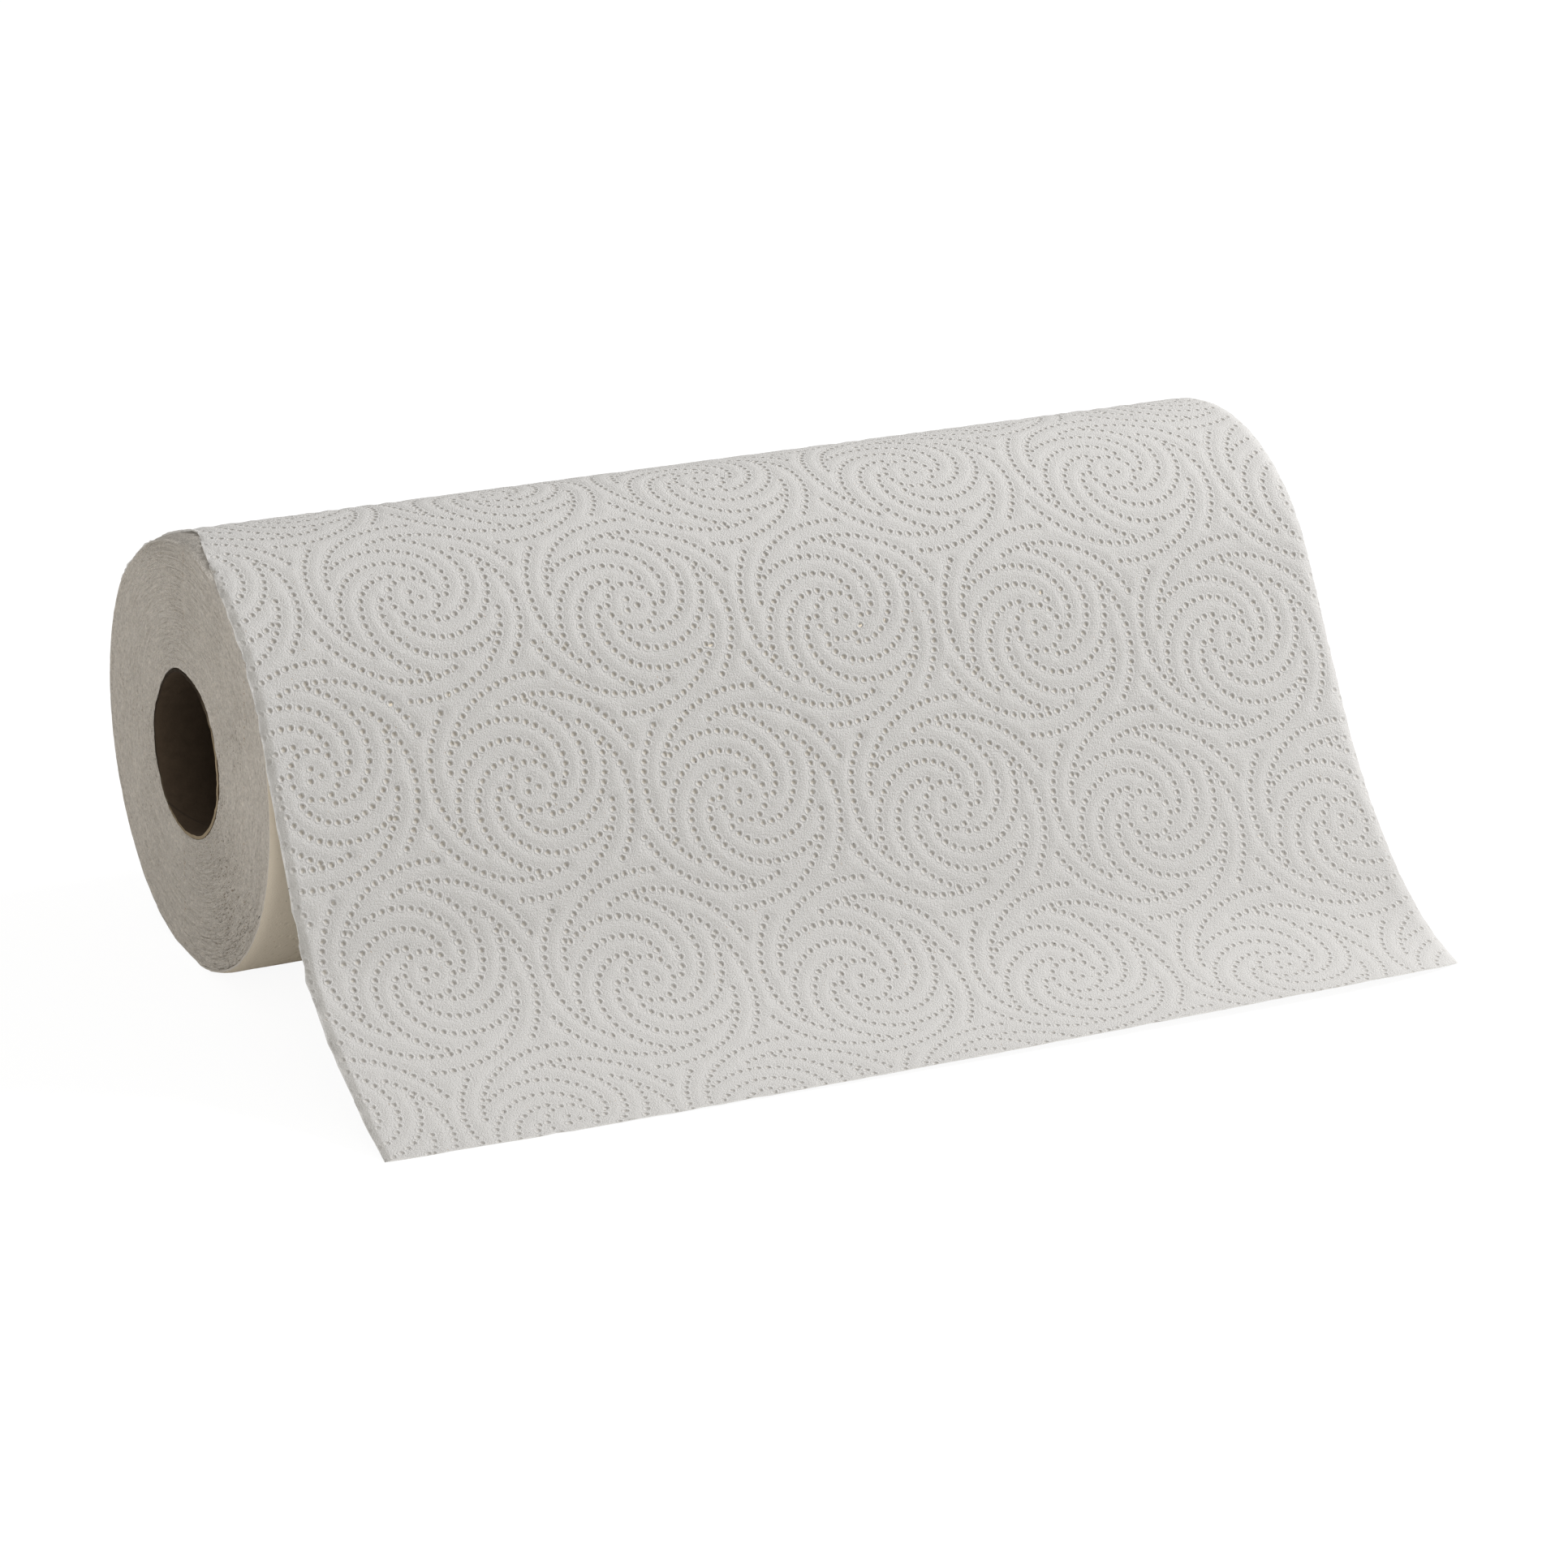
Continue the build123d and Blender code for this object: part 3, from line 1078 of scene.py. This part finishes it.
class TOWEL_OT_first_sheet(bpy.types.Operator):
    """Adds the first sheet: the tail that hangs to the floor, and the web over the top of the roll."""

    bl_idname = "towel.first_sheet"
    bl_label = "First Sheet"

    def execute(self, context):
        scene = context.scene
        roll = scene.roll_sizes
        across = np.linspace(-roll.half_length, roll.half_length, SHEET_COLUMNS + 1)[None, :]
        hanging = hanging_length(roll, scene.tail_sizes, across)
        start = tail_path(roll, scene.tail_sizes, "middle")[0] - hanging
        materials = sheet_materials(scene, "first", scene.finish_colours.cut_edge)
        end = roll.sheet_length - PERFORATION
        rng = np.random.default_rng(11)
        piece = sheet_mesh("first_sheet", start, end, FirstCut(roll), rng, scene, materials)
        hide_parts("paper_roll")
        return {"FINISHED"}


class TOWEL_OT_second_sheet(bpy.types.Operator):
    """Adds the second sheet: the rest of the outer turn, round the back, under the roll and up behind the
    tail.
    """

    bl_idname = "towel.second_sheet"
    bl_label = "Second Sheet"

    def execute(self, context):
        scene = context.scene
        roll = scene.roll_sizes
        start = roll.sheet_length + PERFORATION
        end = 2 * roll.sheet_length
        materials = sheet_materials(scene, "second", scene.finish_colours.wound_edge, start + COVERED_FROM)
        rng = np.random.default_rng(12)
        piece = sheet_mesh("second_sheet", start, end, SecondCut(roll), rng, scene, materials)
        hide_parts("paper_roll")
        return {"FINISHED"}


# The wound turns and the core

# Columns of their grids, round the axis
TURN_COLUMNS = 288
CORE_COLUMNS = 256

# Rows of the core's inner wall, and how many of them the outer wall takes at once
CORE_ROWS = 60
OUTER_STEP = 20

# Gaps in metres: of the glue round the core, under the outer sheets, and from an end face to the roll's end
GLUE_GAP = 0.0001
WEB_GAP = 0.00005
FACE_GAP = 0.0001

# Relief of an end face in metres: of each turn by itself, of turns together, of the gaps between and of the
# crimps
OWN_RELIEF = 0.00008
GROUP_RELIEF = 0.00010
GAP_RELIEF = 0.00014
CRIMP_RELIEF = 0.00045

# Where the other loose turns lie, at the top front
UPPER_LOOSE_ANGLE = radians(150)

# Rows of the side at each end: how far in they lie in metres, and how far each slides in with a drawn-in
# sheet
SIDE_INSETS = np.array((0.0008, 0.0016, 0.0025, 0.0035, 0.005, 0.05))[:, None]
SIDE_SLIDES = np.array((0.0, 0.3, 0.6, 0.9, 1.1, 1.1))[:, None]

# Least step between two of these rows at the left end, in metres
SIDE_STEP = 0.0001

# How far the left end's outer rim is beveled, as a share of the drawing in
BEVEL_SHARE = 0.15

# Spread in metres of the core's torn ends, in long and in short waves, and of its inner wall
TORN_LONG = 0.00015
TORN_SHORT = 0.00006
WALL_WAVE = 0.00006

# How far the core's rims stand out past the roll's ends, in metres
RIM_STANDS = 0.0002


def round_axis(columns):
    """Even angles round the axis, from the back towards the top."""
    return np.linspace(0.0, tau, columns, endpoint=False)[None, :]


def round_points(across, radius, angle):
    """Points at places along the axis, at radii and angles round it."""
    return np.stack((across * np.ones_like(angle), radius * np.cos(angle), radius * np.sin(angle)), axis=-1)


def turned_from_tail(angle):
    """How far round an angle lies from the line where the tail leaves the roll, the way the web is wound."""
    return (pi / 2 + bpy.context.scene.tail_sizes.middle_slopes[0] - angle) % tau


def under_web(roll, angle):
    """Radius just under the outer sheets, which shrinks by one thickness round the turn that starts at the
    tail.
    """
    return roll.radius - roll.thickness * (1.0 + turned_from_tail(angle) / tau) - WEB_GAP


def core_wobble(angle):
    """How far the core is out of round at an angle: a few low waves."""
    waves = 0.00022 * np.cos(2 * angle + 1.0) + 0.00016 * np.cos(3 * angle + 2.2)
    return waves + 0.00010 * np.cos(5 * angle + 0.7)


def end_face(roll, rows, angle, rng):
    """One end of the wound turns: radii and outward heights over rows from the bore out and columns round
    the axis.

    Rows are in pairs, the edge of a turn and the gap beside it. Each turn's edge wanders a little by itself
    and more with its neighbours, and the loose turns at the bottom front and the top front are crimped
    deeper.
    """
    columns = angle.shape[1]
    inner_radius = roll.core_radius + GLUE_GAP
    share = np.linspace(0.0, 1.0, rows)[:, None]
    radius = inner_radius + (under_web(roll, angle) - roll.rim_drop - inner_radius) * share
    radius = radius + core_wobble(angle) * (1.0 - share) ** 2
    gap = (np.arange(rows) % 2)[:, None]
    own = soft_noise(rng, rows, columns, 1.2, 5.0)
    group = soft_noise(rng, rows, columns, 9.0, 16.0)
    crimp = np.abs(soft_noise(rng, rows, columns, 3.0, 4.0))
    loose = 0.35 + np.clip(np.cos(angle - LOOSE_ANGLE), 0.0, 1.0) ** 3 * share
    loose = loose + 0.6 * np.clip(np.cos(angle - UPPER_LOOSE_ANGLE), 0.0, 1.0) ** 4 * share
    height = own * OWN_RELIEF + group * GROUP_RELIEF - gap * GAP_RELIEF
    return radius, height - np.clip(1.0 - crimp, 0.0, 1.0) ** 2 * loose * CRIMP_RELIEF


def wound_side(roll, angle, drawn_in, bevel):
    """The side under the outer sheets, from the left end to the right: places along the axis, and radii.

    Its few rows lie close at the ends, where the rim falls in. At the left they slide in with the drawn-in
    sheet, from the bevel to just past the sheet's edge, and the bevel lowers them by the square of what is
    left to slide.
    """
    across = (roll.half_length - SIDE_INSETS) * np.ones_like(angle)
    radius = under_web(roll, angle) - rim_fall(roll, across)
    slid = bevel + (drawn_in - bevel) * SIDE_SLIDES + np.arange(len(SIDE_SLIDES))[:, None] * SIDE_STEP
    left_across = np.maximum(roll.half_length - across, slid) - roll.half_length
    left_radius = radius - bevel * np.clip(1.0 - SIDE_SLIDES, 0.0, 1.0) ** 2
    return np.concatenate((left_across, across[::-1])), np.concatenate((left_radius, radius[::-1]))


class TOWEL_OT_wound_turns(bpy.types.Operator):
    """Adds the wound turns: both end faces, the side under the outer sheets, and the hole round the core."""

    bl_idname = "towel.wound_turns"
    bl_label = "Wound Turns"

    def execute(self, context):
        scene = context.scene
        roll = scene.roll_sizes
        angle = round_axis(TURN_COLUMNS)
        face_rows = 2 * roll.turn_count + 1
        rng = np.random.default_rng(21)
        left_radius, left_height = end_face(roll, face_rows, angle, rng)
        right_radius, right_height = end_face(roll, face_rows, angle, rng)
        drawn_in = FirstCut(roll).drawn_in(turned_from_tail(angle) * roll.radius, 0.0)
        bevel = BEVEL_SHARE * drawn_in
        outermost = np.clip((np.linspace(0.0, 1.0, face_rows)[:, None] - 0.70) / 0.30, 0.0, 1.0)
        left_height = left_height - bevel * outermost**1.6
        left_radius = left_radius - bevel * outermost
        side_across, side_radius = wound_side(roll, angle, drawn_in, bevel)
        half_length = roll.half_length - FACE_GAP
        bore_across = np.linspace(0.8, -0.8, 3)[:, None] * half_length * np.ones_like(angle)
        bore_radius = roll.core_radius + GLUE_GAP + core_wobble(angle) * np.ones_like(bore_across)
        left_across = -half_length - left_height
        right_across = half_length + right_height
        across = np.concatenate((left_across, side_across, right_across[::-1], bore_across))
        radius = np.concatenate((left_radius, side_radius, right_radius[::-1], bore_radius))
        points = round_points(across, radius, angle)
        points[..., 2] = np.maximum(points[..., 2], roll.floor + 2 * roll.thickness)
        faces = grid_quads(len(across), TURN_COLUMNS, close=True)[:, ::-1].tolist()
        groups = shared_groups(scene)
        material = wound_material("wound_edges", scene.finish_colours.wound_edge, groups, roll.half_length)
        piece = add_piece("wound_turns", points, faces, [material])
        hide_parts("paper_roll")
        return {"FINISHED"}


class TOWEL_OT_kraft_core(bpy.types.Operator):
    """Adds the kraft core: an open tube a little out of round, with torn ends."""

    bl_idname = "towel.kraft_core"
    bl_label = "Kraft Core"

    def execute(self, context):
        scene = context.scene
        roll = scene.roll_sizes
        angle = round_axis(CORE_COLUMNS)
        wobble = core_wobble(angle)
        rng = np.random.default_rng(31)
        long_waves = [soft_noise(rng, 2, CORE_COLUMNS, 0.1, 14.0)[:1] * TORN_LONG for _ in range(2)]
        short_waves = [soft_noise(rng, 2, CORE_COLUMNS, 0.1, 2.0)[:1] * TORN_SHORT for _ in range(2)]
        torn_left = long_waves[0] + short_waves[0]
        torn_right = long_waves[1] + short_waves[1]
        share = np.linspace(-1.0, 1.0, CORE_ROWS)[:, None]
        at_end = np.clip((np.abs(share) - 0.97) / 0.03, 0.0, 1.0)
        inner_across = share * roll.half_length + np.where(share < 0, -torn_left, torn_right) * at_end
        inner_wave = soft_noise(rng, CORE_ROWS, CORE_COLUMNS, 3.0, 10.0) * WALL_WAVE
        inner_radius = roll.bore_radius + inner_wave + wobble
        outer_across = inner_across[::-1][::OUTER_STEP]
        outer_radius = roll.core_radius + wobble * np.ones_like(outer_across)
        right_rim = roll.half_length + torn_right + RIM_STANDS
        left_rim = -roll.half_length - torn_left - RIM_STANDS
        rim_radius = roll.bore_radius + (roll.core_radius - roll.bore_radius) * 0.5 + wobble
        across = np.concatenate((inner_across, right_rim, outer_across, inner_across[:1], left_rim))
        radius = np.concatenate((inner_radius, rim_radius, outer_radius, outer_radius[:1], rim_radius))
        points = round_points(across, radius, angle)
        faces = grid_quads(len(points), CORE_COLUMNS, close=True)
        rows = faces[:, 0] // CORE_COLUMNS
        rim_rows = (rows == CORE_ROWS - 1) | (rows == CORE_ROWS) | (rows >= len(points) - 2)
        colours = scene.finish_colours
        inside = kraft_material("kraft_inside", colours.kraft, roll)
        rim = kraft_material("kraft_torn", colours.kraft_rim, roll, colours.kraft)
        piece = add_piece("kraft_core", points, faces[:, ::-1].tolist(), [inside, rim], rim_rows.astype(int))
        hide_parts("core_tube")
        return {"FINISHED"}


# The stage

# The floor as the camera sees it: how far it reaches in metres, its shade where light falls, and the light
# it gives off
FLOOR_REACH = 6.0
FLOOR_SHADE = (0.15, 0.15, 0.15)
FLOOR_LIFT = 0.925


def camera_frame(stage):
    """The camera's place and turn as a matrix: right, up and backward as columns."""
    yaw = stage.camera_yaw
    pitch = stage.camera_pitch
    forward = Vector((sin(yaw) * cos(pitch), cos(yaw) * cos(pitch), -sin(pitch)))
    level = Vector((cos(yaw), -sin(yaw), 0.0))
    upright = level.cross(forward)
    right = level * cos(stage.camera_roll) + upright * sin(stage.camera_roll)
    up = upright * cos(stage.camera_roll) - level * sin(stage.camera_roll)
    turn = Matrix((right, up, -forward)).transposed().to_4x4()
    return Matrix.Translation(stage.camera_place) @ turn


def add_camera(scene, stage):
    """The camera at the photograph's viewing angle."""
    camera = bpy.data.cameras.new("view")
    camera.sensor_width = SENSOR_WIDTH
    camera.lens = stage.focal_pixels / FRAME_PIXELS * SENSOR_WIDTH
    holder = bpy.data.objects.new("view", camera)
    holder.matrix_world = camera_frame(stage)
    scene.collection.objects.link(holder)
    scene.camera = holder


def add_lamp(scene, name, place, power, size, colour):
    """One square lamp, aimed at the roll."""
    lamp = bpy.data.lights.new(name, "AREA")
    lamp.energy = power
    lamp.size = size
    lamp.color = colour
    holder = bpy.data.objects.new(name, lamp)
    holder.location = place
    holder.rotation_euler = Vector(place).to_track_quat("Z", "Y").to_euler()
    scene.collection.objects.link(holder)


def shown_white(tree):
    """1 for rays that should see the white background: from the camera, in gloss and through glass."""
    path = add_node(tree, "ShaderNodeLightPath")
    shown = Wire(tree, path.outputs["Is Camera Ray"])
    shown = larger(shown, Wire(tree, path.outputs["Is Glossy Ray"]))
    return larger(shown, Wire(tree, path.outputs["Is Transmission Ray"]))


def add_sky(scene, stage):
    """A world that is white to the camera and lights the roll softly from all round."""
    world = bpy.data.worlds.new("studio")
    world.use_nodes = True
    tree = world.node_tree
    light = tree.nodes["Background"]
    light.inputs["Color"].default_value = opaque(stage.sky_colour)
    light.inputs["Strength"].default_value = stage.sky_strength
    white = add_node(tree, "ShaderNodeBackground", Color=opaque(WHITE), Strength=1.0)
    pick = add_node(tree, "ShaderNodeMixShader", Fac=shown_white(tree).socket)
    tree.links.new(light.outputs["Background"], pick.inputs[1])
    tree.links.new(white.outputs["Background"], pick.inputs[2])
    tree.links.new(pick.outputs["Shader"], tree.nodes["World Output"].inputs["Surface"])
    scene.world = world


def add_floor(scene, stage, roll):
    """A wide pale floor that takes the roll's shadow, lifted to white where the camera sees it lit."""
    signs = ((-1, -1), (1, -1), (1, 1), (-1, 1))
    corners = [(right * FLOOR_REACH, back * FLOOR_REACH, roll.floor) for right, back in signs]
    mesh = bpy.data.meshes.new("floor")
    mesh.from_pydata(corners, [], [(0, 1, 2, 3)])
    material = bpy.data.materials.new("white_floor")
    material.use_nodes = True
    tree = material.node_tree
    tree.nodes.remove(tree.nodes["Principled BSDF"])
    plain = add_node(tree, "ShaderNodeBsdfDiffuse", Color=opaque(stage.floor_colour))
    shade = add_node(tree, "ShaderNodeBsdfDiffuse", Color=opaque(FLOOR_SHADE))
    lift = add_node(tree, "ShaderNodeEmission", Color=opaque(WHITE), Strength=FLOOR_LIFT)
    lifted = tree.nodes.new("ShaderNodeAddShader")
    tree.links.new(shade.outputs["BSDF"], lifted.inputs[0])
    tree.links.new(lift.outputs["Emission"], lifted.inputs[1])
    pick = add_node(tree, "ShaderNodeMixShader", Fac=shown_white(tree).socket)
    tree.links.new(plain.outputs["BSDF"], pick.inputs[1])
    tree.links.new(lifted.outputs["Shader"], pick.inputs[2])
    tree.links.new(pick.outputs["Shader"], tree.nodes["Material Output"].inputs["Surface"])
    mesh.materials.append(material)
    floor = bpy.data.objects.new("floor", mesh)
    scene.collection.objects.link(floor)


class TOWEL_OT_stage(bpy.types.Operator):
    """Adds the camera, the three lamps, the white sky and the floor."""

    bl_idname = "towel.stage"
    bl_label = "Stage"

    def execute(self, context):
        scene = context.scene
        stage = scene.stage_settings
        add_camera(scene, stage)
        add_lamp(scene, "key_lamp", stage.key_place, stage.key_power, stage.key_size, WHITE)
        add_lamp(scene, "fill_lamp", stage.fill_place, stage.fill_power, stage.fill_size, stage.fill_colour)
        add_lamp(scene, "front_lamp", stage.front_place, stage.front_power, stage.front_size, WHITE)
        add_sky(scene, stage)
        add_floor(scene, stage, scene.roll_sizes)
        scene.view_settings.view_transform = "Standard"
        return {"FINISHED"}


class TOWEL_PT_panel(bpy.types.Panel):
    """Lists the roll's sizes, colours and pieces."""

    bl_label = "Paper Towel Roll"
    bl_idname = "TOWEL_PT_panel"
    bl_space_type = "VIEW_3D"
    bl_region_type = "UI"
    bl_category = "Towel Roll"

    def draw(self, context):
        for holder in PROPERTY_HOLDERS:
            box = self.layout.box()
            group = getattr(context.scene, holder)
            for key in group.__annotations__:
                box.prop(group, key)
        for operator in OPERATORS:
            self.layout.operator(operator.bl_idname)


PROPERTY_HOLDERS = {
    "roll_sizes": RollSizes,
    "tail_sizes": TailSizes,
    "emboss_sizes": EmbossSizes,
    "finish_colours": FinishColours,
    "stage_settings": StageSettings,
}
OPERATORS = (
    TOWEL_OT_wound_turns,
    TOWEL_OT_kraft_core,
    TOWEL_OT_second_sheet,
    TOWEL_OT_first_sheet,
    TOWEL_OT_stage,
)
CLASSES = (*PROPERTY_HOLDERS.values(), *OPERATORS, TOWEL_PT_panel)


def register():
    """Adds the classes, and the property groups to the scene."""
    for entry in CLASSES:
        bpy.utils.register_class(entry)
    for holder, group in PROPERTY_HOLDERS.items():
        setattr(bpy.types.Scene, holder, bpy.props.PointerProperty(type=group))


def unregister():
    """Takes them away again."""
    for holder in PROPERTY_HOLDERS:
        delattr(bpy.types.Scene, holder)
    for entry in reversed(CLASSES):
        bpy.utils.unregister_class(entry)


def main():
    """Builds every piece and the stage."""
    register()
    bpy.ops.towel.wound_turns()
    bpy.ops.towel.kraft_core()
    bpy.ops.towel.second_sheet()
    bpy.ops.towel.first_sheet()
    bpy.ops.towel.stage()


if __name__ == "__main__":
    main()
